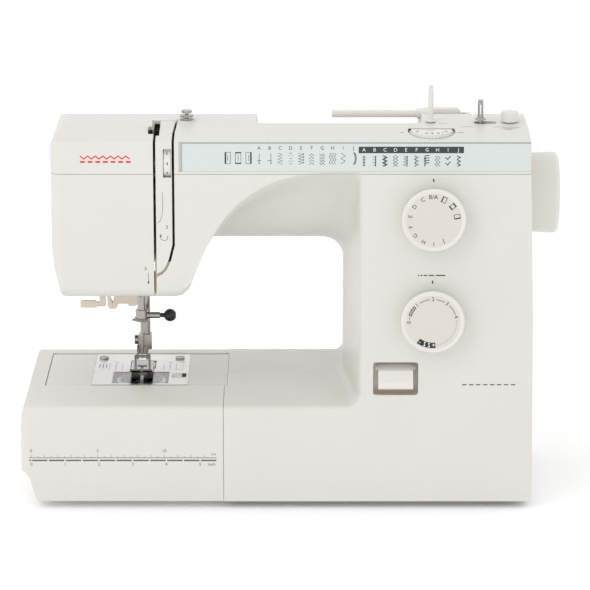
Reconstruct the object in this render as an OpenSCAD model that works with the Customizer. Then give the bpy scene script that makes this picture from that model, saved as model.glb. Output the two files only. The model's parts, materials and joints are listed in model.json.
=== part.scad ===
// Free-arm domestic sewing machine, in millimetres.
// +X runs from the needle end to the hand wheel, +Y from the operator to the back, +Z up.
// The origin is under the middle of the machine, on the table.

/* [Body] */
// Left face of the head
head_left = -177; // [-179:1:-175]
// Right face of the pillar at its foot
body_right = 181.5; // [180:0.5:183]
// Front plane of the casing
front_y = -75; // [-76:1:-74]
// Back plane of the casing
back_y = 87; // [85:1:89]
// Height of the crown of the arm
crown_z = 291; // [289:1:293]
// Height of the sewing surface
bed_z = 84; // [83:0.5:85]
// Height of the underside of the head
head_z = 164; // [163:0.5:165]
// Height of the parting line under the top cover
seam_z = 259.5; // [259:0.5:260]
// Height of the underside of the arm at the middle of its depth
arm_z = 194; // [192:1:196]
// Thickness of the plastic shells
wall = 2.6; // [2.4:0.1:2.8]
// Height of the feet
foot_h = 5; // [4.5:0.5:5.5]

/* [Free arm and table] */
// Left end of the free arm
arm_left = -187; // [-188:1:-186]
// Left end of the extension table
table_left = -203.3; // [-205:0.1:-202]
// Seam between the extension table and the base
table_right = -50.5; // [-51:0.5:-50]
// Front face of the free arm
free_front = -27; // [-27.5:0.5:-26.5]
// Back face of the free arm
free_back = 61; // [60.5:0.5:62]

/* [Mechanism] */
// Needle bar across the machine
needle_x = -115; // [-115.5:0.5:-114.5]
// Needle bar from front to back
needle_y = 12; // [11.5:0.5:12.5]
// Radius of the needle bar and of the presser bar
bar_r = 3.3; // [3:0.1:3.5]
// Presser bar behind the needle bar
presser_y = 27; // [26:0.5:28]
// Presser bar across the machine
presser_x = -112.4; // [-113:0.1:-112]
// Height of the arm shaft and of the hand wheel
shaft_z = 226; // [225:1:227]
// Arm shaft from front to back
shaft_y = 12; // [11:1:13]
// Height of the lower shaft
lower_z = 45.5; // [45:0.5:46]
// Lower shaft and hook from front to back
hook_y = -4; // [-4.5:0.5:-3.5]
// Radius of both shafts
shaft_r = 4.5; // [4:0.5:5]
// Running clearance on the radius
run = 0.05; // [0.03:0.01:0.07]
// Needle stroke
stroke = 27; // [26:0.5:28]
// Teeth on the hook pinion, half of those on the crown wheel
pinion_teeth = 10; // [10:2:12]

/* [Controls] */
// Radius of the two front dials
dial_r = 23.7; // [22:0.1:24.5]
// How far the dials stand out of the front
dial_h = 14; // [12:1:15]
// Radius of the hand wheel
wheel_r = 31; // [29:0.5:32]
// Outer face of the hand wheel
wheel_x = 203.3; // [201:0.1:205]

/* [Hidden] */
$fn = 48;
eps = 0.02;
gap = 0.3;                  // clearance between neighbouring covers
depth = back_y - front_y;
split_y = 8;                // parting plane between front and rear covers
slot = [-101.2, -99.3];     // thread slot on the left of the tongue
tongue = [-99.3, -87.4];
right_slot_w = 1.8;
top_slot = [-105.5, -97, -60, -44];    // opening for the take-up lever: x0, x1, y0, y1
pattern_at = [105, 228];
length_at = [105, 150.6];
win = [61.4, 90.4, 95.1, 116];         // reverse lever window: x0, z0, x1, z1
plate_at = [-152.5, -25.6, -79, 58];   // needle plate: x0, y0, x1, y1
cover_at = [-136.8, -22, -94.1, 9];   // cover over the bobbin
button_at = [-91.5, -6, -84, 5];       // its release button
chart = [-80.7, 261.5, 176.4, 283.6];  // stitch chart: x0, z0, x1, z1
recess = [-25.8, 98];                   // spool recess from left to right
recess_y = [-36.4, 42];                // and from front to back
pin_z = 287.5;
pin_y = 10;
pin_x = [31, 106];
extra_pin = [104, -34];
winder = [141, -35];
stopper = [162, -33];
guide = [-77.6, -30];
width_at = [104, -53];
width_r = 17;
hook_x = -115;
pinion_r = 5;
crown_r = pinion_r * 2;
main_pulley_r = 34;
motor_pulley_r = 6.8;
motor_at = [34, 52];                   // motor shaft: y, z
timing_r = 14;
motor_belt_x = 163;
timing_belt_x = 148;
throw = stroke / 2;
bars = [[needle_x, needle_y], [presser_x, presser_y]];
clamp_z = 128.7;                       // needle clamp screw
foot_screw_z = 105;
take_up = [-4, 245];                   // pivot of the take-up lever: y, z
tension_r = 15.8;
tension_at = [front_y + tension_r + 0.2, 267.4];  // axis of the tension dial: y, z
handle_x = [-10, 84];                  // legs of the carrying handle
handle_y = 54;                         // its pivot
handle_z = 264.4;
handle_reach = 20;
bay_z = 262;                           // floor of the bay it lies in
lifter = [-102, 52, 174];              // pivot of the presser lifter
lifter_w = 8;

// ---- Colours ----
shell_white = [0.93, 0.92, 0.9];
part_white = [0.96, 0.96, 0.94];
steel = [0.75, 0.76, 0.78];
dark = [0.1, 0.1, 0.11];
cast = [0.6, 0.62, 0.64];

// ---- Shape helpers ----
function arc(cx, cy, r, a0, a1, n = 7) =
  [for (i = [0:n]) [cx + r * cos(a0 + (a1 - a0) * i / n), cy + r * sin(a0 + (a1 - a0) * i / n)]];

module along_x(x0, x1) {
  translate([x0, 0, 0]) rotate([90, 0, 90]) linear_extrude(x1 - x0) children();
}
module along_y(y0, y1) {
  translate([0, y1, 0]) rotate([90, 0, 0]) linear_extrude(y1 - y0) children();
}
module along_z(z0, z1) {
  translate([0, 0, z0]) linear_extrude(z1 - z0) children();
}
module box(lo, hi) {
  translate(lo) cube(hi - lo);
}
module rod_x(x0, x1, y, z, r) {
  translate([x0, y, z]) rotate([0, 90, 0]) cylinder(h = x1 - x0, r = r);
}
module rod_y(y0, y1, x, z, r) {
  translate([x, y0, z]) rotate([-90, 0, 0]) cylinder(h = y1 - y0, r = r);
}
module rod_z(z0, z1, x, y, r) {
  translate([x, y, z0]) cylinder(h = z1 - z0, r = r);
}
module rounded(x0, y0, x1, y1, r) {
  polygon(concat(arc(x0 + r, y0 + r, r, 180, 270, 4), arc(x1 - r, y0 + r, r, 270, 360, 4),
    arc(x1 - r, y1 - r, r, 0, 90, 4), arc(x0 + r, y1 - r, r, 90, 180, 4)));
}

// A closed solid through equal rings of points, one ring after another.
module loft(rings) {
  n = len(rings[0]);
  m = len(rings);
  polyhedron(
    points = [for (ring = rings) for (p = ring) p],
    faces = concat(
      [[for (i = [0:n - 1]) i]],
      [for (k = [0:m - 2]) for (i = [0:n - 1]) each [
        [k * n + i, (k + 1) * n + i, (k + 1) * n + (i + 1) % n],
        [k * n + i, (k + 1) * n + (i + 1) % n, k * n + (i + 1) % n]]],
      [[for (i = [n - 1:-1:0]) (m - 1) * n + i]]));
}

// ---- Casing: the opening between head, arm, pillar and bed ----
// Each edge is a function of d, the distance behind the front plane.
function under_arm(d) = lookup(d, [
  [-5, 266], [0, 261.5], [1.5, 259.5], [6, 256], [12, 250.5], [18, 245], [25, 236.5], [33, 225],
  [41, 213], [48, 205], [58, 199], [70, 195.5], [82, arm_z], [depth - 12, arm_z],
  [depth - 5, arm_z + 2.5], [depth, arm_z + 8], [depth + 6, arm_z + 16]]);
function pillar_left(d) = lookup(d, [
  [-5, 56], [0, 53.5], [1.2, 51.8], [3.5, 50.8], [10, 49.8], [80, 40.7], [depth - 10, 40.7],
  [depth - 3, 42.5], [depth + 6, 50]]);
function bed_top(d) = lookup(d, [
  [-5, 75], [0, 79.3], [1.2, 80.8], [3.5, 81.8], [48, bed_z], [depth - 14, bed_z],
  [depth - 7, bed_z - 2], [depth, bed_z - 8], [depth + 6, bed_z - 16]]);
function head_bottom(d) = lookup(d, [
  [-5, 180], [0, 173], [2, 169.5], [5, 166.6], [9, 164.7], [13, head_z], [depth - 12, head_z],
  [depth - 5, 166.5], [depth, 172], [depth + 6, 180]]);
function head_right(z) = -78.6 + (z - head_z) * 0.393;
// How far the blend between head and arm reaches each way from their corner.
function blend(d) = lookup(d, [[0, 84], [13, 70], [25, 52], [33, 36], [41, 22], [52, 12], [82, 9], [depth, 9]]);
function corner_r(d) = lookup(d, [[0, 3], [20, 10], [45, 17], [80, 20], [depth, 20]]);
function foot_r(d) = lookup(d, [[0, 10], [30, 7], [depth, 7]]);
depths = [-5, 0, 1.3, 3.5, 6, 9, 13, 18, 25, 33, 41, 48, 58, 70, 82, depth - 14, depth - 7,
  depth - 3, depth, depth + 6];

// The opening's outline at depth d, grown by g into the walls.
function opening_ring(d, g) =
  let (zt = under_arm(d) + g, xw = pillar_left(d) + g, zb = bed_top(d) - g, zh = head_bottom(d) + g,
    rt = max(1, corner_r(d) - g), rb = max(1, foot_r(d) - g), steps = 10,
    corner = [head_right(zt - g) - g, zt], reach = min(blend(d), (zt - zh) * 0.8),
    below = corner - reach * [0.366, 0.931], beside = corner + reach * [1, 0])
  [for (p = concat(
    [[-260, zb], [-260, zh], [head_right(zh - g) - g - 7, zh], [head_right(zh - g) - g - 2.5, zh + 1]],
    [[head_right(zh + 5 - g) - g, zh + 5]],
    [for (i = [0:steps]) let (t = i / steps) below * (1 - t) * (1 - t) + corner * 2 * t * (1 - t) + beside * t * t],
    arc(xw - rt, zt - rt, rt, 90, 0, 9),
    arc(xw - rb, zb + rb, rb, 0, -90, 5))) [p[0], front_y + d, p[1]]];

module opening(g) {
  loft([for (d = depths) opening_ring(d, g)]);
}

// ---- Casing: outer form, inset by i ----
module front_outline() {
  polygon(concat(
    [[table_right, foot_h], [body_right - 2, foot_h], [body_right, foot_h + 2], [180, 150], [176.8, 262]],
    arc(171.5, 287, 4.6, 0, 60, 3), [[150, 310], [-150, 310]],
    arc(-163, 276.5, 14.5, 105, 176, 6),
    [[head_left, 255], [head_left, 205], [-175.5, 190], [-171.2, 172]],
    arc(-163.5, 171.6, 7.8, 188, 262, 5),
    [[-156, head_z - 0.3], [-150, 150], [table_right, 150]]));
}
module side_outline() {
  polygon(concat(
    [[front_y + 5, foot_h], [front_y + 3.2, foot_h + 1], [front_y, 28], [front_y, 261], [front_y, 280]],
    arc(front_y + 3, 281.7, 3, 170, 100, 4),
    [[front_y + 20, 287.5], [front_y + 36, 289.8], [front_y + 50, 290.8], [front_y + 60, crown_z],
     [front_y + 70, 290.4], [front_y + 84, 287.6], [front_y + 100, 283.9], [front_y + 118, 278.8],
     [front_y + 134, 273.2], [front_y + 147, 267], [front_y + 157, 260], [back_y, 248], [back_y, foot_h + 4], [back_y - 4, foot_h]]));
}
module plan_outline() {
  polygon(concat(
    arc(head_left + 8, front_y + 8, 8, 180, 270, 6), arc(body_right - 3, front_y + 3, 3, 270, 360, 4),
    arc(body_right - 10, back_y - 10, 10, 0, 90, 6), arc(head_left + 14, back_y - 14, 14, 90, 180, 6)));
}
module form(i) {
  difference() {
    intersection() {
      along_y(front_y - 5, back_y + 5) offset(delta = -i) front_outline();
      along_x(-260, 260) offset(delta = -i) side_outline();
      along_z(0, 320) offset(delta = -i) plan_outline();
    }
    opening(i);
  }
}
module shell() {
  difference() {
    form(0);
    form(wall);
  }
}
// Space of the thread channel in the front of the head, cut through the shells.
module thread_channel() {
  along_y(front_y - 3, front_y + 9) polygon([
    [slot[0], 158], [slot[1], 158], [slot[1], 181.6], [-95.5, 183.5], [-92, 187], [-88.6, 194],
    [tongue[1] + right_slot_w, 206], [tongue[1] + right_slot_w, 292], [slot[0], 292]]);
  along_z(270, 300) polygon([[slot[0], front_y - 2], [tongue[1] + right_slot_w, front_y - 2],
    [tongue[1] + right_slot_w, front_y + 18], [tongue[1] + 3.6, front_y + 45],
    [tongue[1] + 1.6, front_y + 45.5], [slot[0], front_y + 45.5]]);
  along_z(270, 300) rounded(top_slot[0], top_slot[2], top_slot[1], top_slot[3], 2);
}
module front_holes() {
  rod_y(front_y - 5, front_y + 8, pattern_at[0], pattern_at[1], 6);
  rod_y(front_y - 5, front_y + 8, length_at[0], length_at[1], 6);
  along_y(front_y - 5, front_y + 8) rounded(win[0], win[1], win[2], win[3], 2);
}
module right_holes() {
  rod_x(170, 190, shaft_y, shaft_z, shaft_r + 5.5);
  box([170, 22, 40], [190, 46, 61]);
  box([170, 51, 66], [190, 75, 86]);
}
seats = [for (x = [-30, 160]) for (y = [-42, 62]) [x, y]];
// Where the free arm enters the base, and the floor that the base plate closes
module arm_socket() {
  box([table_right - 5, free_front - 0.3, 29.7], [table_right + 1.8, free_back + 0.3, bed_z + 2]);
  box([table_right - 5, free_front + 5, 33], [table_right + 5, free_back - 5, 76]);
  box([table_right + wall, front_y + 8, 0], [body_right - wall - 3, back_y - 8, foot_h + wall + 1]);
}

module front_cover() {
  color(shell_white) difference() {
    intersection() {
      shell();
      difference() {
        box([slot[0], -100, 0], [200, split_y, seam_z]);
        box([-200, -100, 0], [table_right + 40, 100, bed_z - 12]);
      }
    }
    thread_channel();
    front_holes();
    right_holes();
    arm_socket();
  }
  // Reverse lever pocket
  color(shell_white) difference() {
    along_y(front_y + wall - 0.4, front_y + 14)
      rounded(win[0] - 2, win[1] - 2, win[2] + 2, win[3] + 2, 3);
    along_y(front_y - 5, front_y + 12) rounded(win[0], win[1], win[2], win[3], 2);
    box([win[0] + 6, front_y + 10, win[1] + 6], [win[2] - 6, front_y + 16, win[3] - 6]);
  }
  color(shell_white) front_skirt();
}
// Wall of the base under the bed, left of the pillar.
module front_skirt() {
  difference() {
    intersection() {
      difference() {
        form(0);
        form(wall);
      }
      box([table_right - 1, -100, 0], [table_right + 40, split_y, bed_z - 12]);
    }
    arm_socket();
  }
}

module rear_cover() {
  color(shell_white) difference() {
    intersection() {
      shell();
      box([head_left - 5, split_y + gap, 0], [200, 120, seam_z]);
      difference() {
        box([-200, -100, 0], [200, 120, 300]);
        box([-200, -100, head_z - 6], [slot[0], 66, 300]);
      }
    }
    arm_socket();
    right_holes();
    for (p = screw_at) {
      rod_y(back_y - 0.4, back_y + 5, p[0], p[1], 3.5);
      rod_y(back_y - 5, back_y + 5, p[0], p[1], 1.6);
    }
    lifter_slot();
  }
}

module top_cover() {
  color(shell_white) difference() {
    union() {
      intersection() {
        shell();
        box([-200, -120, seam_z + gap], [200, 120, 320]);
      }
      // Tubs under the spool recess and the handle
      intersection() {
        form(1);
        union() {
          box([recess[0] - wall, recess_y[0] - wall, 265.4], [recess[1] + wall, recess_y[1] + wall, 300]);
          box([recess[0] - wall, recess_y[1], seam_z + gap], [recess[1] + wall, 100, 300]);
        }
      }
      // Lugs of the handle
      for (x = handle_x) for (side = [-1, 1])
        box([x + side * 7.4 - 2, handle_y - 3.4, bay_z - 1], [x + side * 7.4 + 2, handle_y + 3.4, bay_z + 4.6]);
      // Winder deck and bosses
      intersection() {
        form(0.5);
        union() {
          rod_z(276, 300, extra_pin[0], extra_pin[1], 5);
          box([96, 1.6, 272], [136, 18.4, 280]);
        }
      }
      box([103, 1.6, 279], [136, 18.4, 287]);
      // White plinth of the winding guide
      translate([guide[0], guide[1], 284]) cylinder(h = 7.2, r1 = 8.2, r2 = 7.2);
    }
    difference() {
      union() {
        along_z(268, 320) rounded(recess[0], recess_y[0], recess[1], recess_y[1] + 12, 4);
        box([recess[0], recess_y[1] + wall, bay_z], [recess[1], 120, 320]);
      }
      for (x = handle_x) for (side = [-1, 1])
        box([x + side * 7.4 - 2, handle_y - 3.4, bay_z - 1], [x + side * 7.4 + 2, handle_y + 3.4, bay_z + 4.6]);
    }
    for (x = handle_x) rod_x(x - 9.5, x + 9.5, handle_y, handle_z, 1.6);
    thread_channel();
    along_x(chart[0] - 1.6, 190) polygon([[front_y - 3, chart[1]], [front_y + 1.2, chart[1]],
      [front_y + 1.2, chart[3]], [front_y - 3, chart[3]]]);
    rod_z(270, 320, extra_pin[0], extra_pin[1], 1.55);
    rod_z(270, 320, guide[0], guide[1], 1.3);
    translate([0, 0, 270]) linear_extrude(50) rounded(136, winder[1] - 3.4, 153, winder[1] + 3.4, 3.3);
    rod_z(270, 320, stopper[0], stopper[1], 1.9);
    rod_z(281.5, 288.4, width_at[0], width_at[1], width_r + 0.6);
    rod_z(270, 300, width_at[0], width_at[1], 3.2);
    box([95, 4.4, 275], [133, 15.6, 320]);
    rod_y(0, 20, 122, pin_z - 2.5, 1.55);
  }
}

module lifter_slot() {
  box([lifter[0] - lifter_w / 2 - 1.5, lifter[1] - 9, head_z - 8], [lifter[0] + lifter_w / 2 + 1.5, 100, 193]);
}

module face_cover() {
  color(shell_white) difference() {
    intersection() {
      shell();
      box([-200, -120, head_z - 6], [slot[0], 66, seam_z]);
    }
    box([-133, 2, head_z - 6], [slot[0] + 1, 40, head_z + 5]);
    box([-165, -37, head_z - 6], [-137, 10, head_z + 5]);
    box([-142, -8, head_z - 6], [-116, 10, head_z + 5]);
    box([head_left - 3, 19.8, 189.8], [head_left + 1.6, 32.2, 204.2]);
    lifter_slot();
  }
}

module thread_guide_plate() {
  color(shell_white) difference() {
    intersection() {
      difference() {
        form(0.1);
        form(wall);
      }
      union() {
        along_y(front_y - 3, front_y + 12) polygon([
          [tongue[0], 184.3], [-96, 185.6], [-93, 188.8], [-90.2, 195.2], [tongue[1], 206.5],
          [tongue[1], 300], [tongue[0], 300]]);
        along_z(270, 300) polygon([[tongue[0], front_y - 2], [tongue[1], front_y - 2],
          [tongue[1], front_y + 18], [tongue[1] + 1.6, front_y + 45], [tongue[0] + 2.4, front_y + 45],
          [tongue[0] + 2.4, front_y + 12], [tongue[0], front_y + 12]]);
      }
    }
    box([-93.8, -90, 257], [-87.9, -60, 278.4]);
  }
  // Tension unit carrier behind the tongue
  color(shell_white) difference() {
    box([-96.5, front_y + wall, 226], [-94.4, front_y + 30, 251]);
    rod_x(-100, -90, front_y + 22, 238, 1.95);
  }
}

module stitch_chart() {
  color([0.8, 0.83, 0.83]) box([chart[0], front_y + 0.2, chart[1] + 0.1], [chart[2], front_y + 1.2, chart[3] - 0.1]);
}

module free_arm_profile(i) {
  polygon(concat(
    arc(free_front + 9, 30 + 9, 9 - i, 180, 270, 5), arc(free_back - 9, 39, 9 - i, 270, 360, 5),
    arc(free_back - 4, bed_z - 4, 4 - i, 0, 90, 4), arc(free_front + 4, bed_z - 4, 4 - i, 90, 180, 4)));
}
module free_arm_cover() {
  color(shell_white) difference() {
    along_x(arm_left, table_right + 1.6) free_arm_profile(0);
    along_x(arm_left + 2.4, table_right + 5) free_arm_profile(2.4);
    box([plate_at[0] - 0.1, plate_at[1] - 0.1, 60], [plate_at[2] + 0.1, plate_at[3] + 0.1, 100]);
    box([-140, free_back - 5, 44], [-116, free_back + 5, 52]);
  }
  // Ledge that carries the needle plate
  color(shell_white) difference() {
    box([plate_at[0] - 2, plate_at[1] + 0.4, bed_z - 5], [plate_at[2] + 2, plate_at[3] + 1.4, bed_z - 2.3]);
    box([plate_at[0] + 4, plate_at[1] + 1.8, bed_z - 8], [plate_at[2] - 12, plate_at[3] - 8, bed_z]);
    for (x = [plate_at[0] + 6, plate_at[2] - 8]) rod_z(70, 90, x, 46, 1.6);
    box([button_at[0] - 0.6, button_at[1] - 0.6, 70], [button_at[2] + 4, button_at[3] + 0.6, 90]);
  }
}

module base_plate() {
  color(cast) difference() {
    {
      box([table_right + wall + gap, front_y + 8 + gap, foot_h + 0.2],
        [body_right - wall - 3 - gap, back_y - 8 - gap, foot_h + 3]);
    }
    for (p = seats) rod_z(0, 20, p[0], p[1], 2.2);
    for (i = [0:7]) box([20 + i * 12, -30, 0], [26 + i * 12, 10, 12]);
  }
}

module rubber_feet() {
  color(dark) for (p = seats) {
    translate([p[0], p[1], 0]) cylinder(h = foot_h + 0.2, r1 = 8, r2 = 9);
    rod_z(foot_h, foot_h + 6, p[0], p[1], 2.15);
  }
}

// Cast frame: base rails, a post in the pillar, a beam along the arm and a plate in the head.
module main_frame() {
  color(cast) difference() {
    union() {
      box([56, -52, foot_h + 3], [72, 70, 20]);
      box([-180, 34, 44], [72, 44, 66]);
      box([-180, 22, 34], [-170, 44, 66]);
      box([-20, -20, 22], [-8, 44, 60]);
      box([98, -20, foot_h + 3], [112, 60, 60]);
      box([56, 24, foot_h + 3], [112, 44, 60]);
      box([60, 30, 20], [84, 44, 210]);
      box([-96, 30, 205], [84, 42, 246]);
      box([-96, 22, 205], [-84, 42, 246]);
      box([-96, 2, 212], [-84, 30, 240]);
      box([120, 2, 212], [132, 42, 240]);
      box([84, 30, 205], [132, 42, 240]);
      box([120, 30, foot_h + 3], [132, 42, 240]);
      // Head casting with the bar guides
      box([-134, 36, head_z + 4], [-84, 42, 253]);
      box([-124, 2, 248], [-106, 38, 253]);
      box([-124, 2, head_z + 5], [-106, 38, head_z + 13]);
      box([-90, -10, 242], [-84, 20, 248]);
      for (side = [-1, 1]) box([lifter[0] + side * 7 - 2, 41, 168], [lifter[0] + side * 7 + 2, 57, 180]);
    }
    rod_x(lifter[0] - 15, lifter[0] + 15, lifter[1], lifter[2], 2);
    rod_x(-100, 140, shaft_y, shaft_z, 7);
    rod_x(-190, -160, hook_y, lower_z, 7);
    rod_x(-25, 20, hook_y, lower_z, 7);
    rod_x(90, 120, hook_y, lower_z, 7);
    for (p = bars) rod_z(150, 260, p[0], p[1], bar_r + 1.2);
    rod_x(-100, -80, take_up[0], take_up[1], 2);
    for (z = [80, 120, 160]) rod_y(20, 50, 72, z, 7);
    for (x = [-60, -30, 0, 30]) rod_y(20, 50, x, 226, 10);
  }
}

module bush(x0, x1, y, z, r_in, r_out) {
  difference() {
    rod_x(x0, x1, y, z, r_out);
    rod_x(x0 - 1, x1 + 1, y, z, r_in);
  }
}
module shaft_bushes() {
  color([0.72, 0.5, 0.3]) {
    bush(-96, -84, shaft_y, shaft_z, shaft_r + run, 7);
    bush(120, 132, shaft_y, shaft_z, shaft_r + run, 7);
    for (p = bars) for (z = [head_z + 5, 248]) difference() {
      rod_z(z, z + (z > 200 ? 5 : 8), p[0], p[1], bar_r + 1.2);
      rod_z(z - 1, z + 10, p[0], p[1], bar_r + run);
    }
    bush(-20, -8, hook_y, lower_z, shaft_r + run, 7);
    bush(98, 112, hook_y, lower_z, shaft_r + run, 7);
  }
}

slits = [for (i = [0:4]) -126 + i * 5.5];
module needle_plate() {
  color(steel) difference() {
    box([plate_at[0], plate_at[1], bed_z - 2.2], [plate_at[2], plate_at[3], bed_z]);
    box([cover_at[0] - 0.15, cover_at[1] - 0.15, 70], [cover_at[2] + 0.15, cover_at[3] + 0.15, 100]);
    box([button_at[0] - 0.2, button_at[1] - 0.2, 70], [button_at[2] + 3.4, button_at[3] + 0.2, 100]);
    // Slots for the feed teeth and the needle
    for (x = [-121.4, -113.2]) box([x, 15, 70], [x + 4.6, 36, 100]);
    box([-124.8, 18, 70], [-122.2, 40, 100]);
    box([-107.8, 18, 70], [-105.2, 40, 100]);
    for (x = [needle_x - 3, needle_x + 3]) rod_z(70, 100, x, needle_y - 1.2, 1);
    box([needle_x - 3, needle_y - 2.2, 70], [needle_x + 3, needle_y - 0.2, 100]);
    for (x = [plate_at[0] + 6, plate_at[2] - 8]) rod_z(70, 100, x, 46, 1.7);
    for (s = [0:4]) for (side = [-1, 1])
      box([needle_x + side * (17 + s * 4) - 0.2, 17, bed_z - 0.25], [needle_x + side * (17 + s * 4) + 0.2, 30, 90]);
  }
}
module plate_screws() {
  color(steel) for (x = [plate_at[0] + 6, plate_at[2] - 8]) difference() {
    union() {
      rod_z(bed_z - 8, bed_z, x, 46, 1.55);
      rod_z(bed_z, bed_z + 1.4, x, 46, 3.6);
    }
    box([x - 4, 45.5, bed_z + 0.7], [x + 4, 46.5, bed_z + 3]);
  }
}

// Fixed race around the hook; it holds the bobbin case from turning.
module hook_race() {
  color(dark) difference() {
    union() {
      rod_z(54, 60, hook_x, hook_y, 20.6);
      box([hook_x - 6, 16, 54], [hook_x + 6, 34, 60]);
    }
    rod_z(50, 70, hook_x, hook_y, 19.4);
  }
  color(steel) difference() {
    union() {
      rod_z(38, 48.6, hook_x, hook_y, 5.5);
      box([hook_x - 5, -2, 38], [hook_x + 3, 34, 46]);
    }
    rod_z(30, 60, hook_x, hook_y, 3 + run);
  }
}

module lamp() {
  color([0.98, 0.97, 0.9]) {
    box([-162, -34, head_z + 2], [-140, -8, head_z + 4]);
    for (i = [0:1]) rod_z(head_z + 0.6, head_z + 2.5, -151, -26 + i * 12, 3);
  }
}

module tension_discs() {
  color(steel) {
    bush(-97.4, -96.6, front_y + 22, 238, 1.9, 8);
    bush(-98.6, -97.8, front_y + 22, 238, 1.9, 8);
    rod_x(-99.2, -94.5, front_y + 22, 238, 1.9);
  }
}

module motor() {
  color(dark) difference() {
    union() {
      rod_x(116 + 18, 155, motor_at[0], motor_at[1], 20);
      rod_x(155, 157, motor_at[0], motor_at[1], 9);
      box([134, motor_at[0] - 22, foot_h + 3], [140, motor_at[0] + 22, 36]);
    }
    rod_x(130, 160, motor_at[0], motor_at[1], 2.5 + run);
    for (i = [0:5]) rotate_about(motor_at, i * 60) box([146, 15, -2], [152, 25, 2]);
  }
}
module rotate_about(at, a) {
  translate([0, at[0], at[1]]) rotate([a, 0, 0]) children();
}

module belt(x0, x1, a, ra, b, rb, t) {
  along_x(x0, x1) difference() {
    hull() {
      translate(a) circle(ra + t);
      translate(b) circle(rb + t);
    }
    hull() {
      translate(a) circle(ra);
      translate(b) circle(rb);
    }
  }
}
module motor_belt() {
  color(dark) belt(motor_belt_x + 1, motor_belt_x + 6, [shaft_y, shaft_z], main_pulley_r + 0.3,
    motor_at, motor_pulley_r + 0.3, 1.6);
}
module timing_belt() {
  color(dark) belt(timing_belt_x - 4, timing_belt_x + 4, [shaft_y, shaft_z], timing_r + 0.3,
    [hook_y, lower_z], timing_r + 0.3, 1.6);
}

module power_inlet() {
  color(dark) difference() {
    union() {
      box([body_right - 7, 52, 67], [body_right - 0.4, 74, 85]);
      box([body_right - 22, 54, 68.5], [body_right - 7, 72, 83.5]);
    }
    box([body_right - 18, 56.4, 70.5], [body_right + 1, 69.6, 81.5]);
  }
  color(steel) for (y = [60, 63, 66]) rod_x(body_right - 18.5, body_right - 8, y, 76, 0.9);
}

module winding_guide() {
  color(steel) {
    rod_z(282, 298.4, guide[0], guide[1], 1.25);
    rod_z(291.4, 292.6, guide[0], guide[1], 5);
    rod_z(293.8, 295, guide[0], guide[1], 5);
    rod_z(296.8, 298.4, guide[0], guide[1], 4);
  }
}

module winder_stopper() {
  color(part_white) difference() {
    union() {
      rod_z(280, 292, stopper[0], stopper[1], 1.85);
      translate([stopper[0] + 1, stopper[1], 290.8]) cylinder(h = 7.4, r = 6.6);
    }
    box([stopper[0] - 2, stopper[1] - 0.5, 297.2], [stopper[0] + 4, stopper[1] + 0.5, 300]);
  }
}

module thread_cutter() {
  color(part_white) difference() {
    box([head_left - 2.2, 20, 190], [head_left + 1.6, 32, 204]);
    box([head_left - 5, 18, 196], [head_left - 0.8, 34, 197.2]);
  }
}

screw_at = [[-150, 240], [-40, 240], [60, 240], [160, 240], [20, 60], [160, 60], [60, 20]];
module cover_screws() {
  color(steel) for (p = screw_at) difference() {
    union() {
      rod_y(back_y - 0.4, back_y + 1.2, p[0], p[1], 3.4);
      rod_y(back_y - 8, back_y, p[0], p[1], 1.5);
    }
    for (a = [0, 90]) translate([p[0], back_y + 1.2, p[1]]) rotate([0, a, 0]) cube([4, 1.4, 0.8], center = true);
  }
}

// ---- Drive ----
module hand_wheel() {
  knob_x = body_right - 1.2;
  color(part_white) difference() {
    translate([knob_x, shaft_y, shaft_z]) rotate([0, 90, 0]) rotate_extrude($fn = 96) polygon(concat(
      [[0, 0], [wheel_r - 4, 0], [wheel_r - 0.8, 1.4]],
      [for (a = [0:15:90]) [wheel_r - 4 + 4 * cos(a), wheel_x - knob_x - 4 + 4 * sin(a)]],
      [[wheel_r - 7, wheel_x - knob_x], [wheel_r - 9, wheel_x - knob_x - 1.4], [0, wheel_x - knob_x - 1.4]]));
    rod_x(knob_x - 1, wheel_x - 8, shaft_y, shaft_z, shaft_r);
  }
}
module toothed(x0, x1, r, n) {
  rod_x(x0, x1, 0, 0, r - 0.8);
  for (i = [0:n - 1]) rotate([i * 360 / n, 0, 0]) box([x0, r - 1, -0.7], [x1, r, 0.7]);
}
module main_shaft() {
  color(steel) translate([0, shaft_y, shaft_z]) {
    rod_x(-98, wheel_x - 8.2, 0, 0, shaft_r);
    difference() {
      union() {
        rod_x(motor_belt_x, motor_belt_x + 7, 0, 0, main_pulley_r - 1);
        rod_x(motor_belt_x + 1, motor_belt_x + 6, 0, 0, main_pulley_r);
      }
      for (i = [0:5]) rotate([i * 60, 0, 0]) rod_x(motor_belt_x - 1, motor_belt_x + 9, 20, 0, 6);
    }
    toothed(timing_belt_x - 4.4, timing_belt_x + 4.4, timing_r, 36);
    for (x = [timing_belt_x - 6, timing_belt_x + 4.6]) rod_x(x, x + 1.4, 0, 0, timing_r + 2.4);
    rod_x(112, 119.7, 0, 0, 9);
    // Crank with its counterweight
    difference() {
      rod_x(-103, -97, 0, 0, 18.4);
      box([-110, -30, 5], [-90, -7, 30]);
      box([-110, 7, 5], [-90, 30, 30]);
    }
    rod_x(-106, -103 + eps, 0, throw, 3);
  }
}
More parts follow.
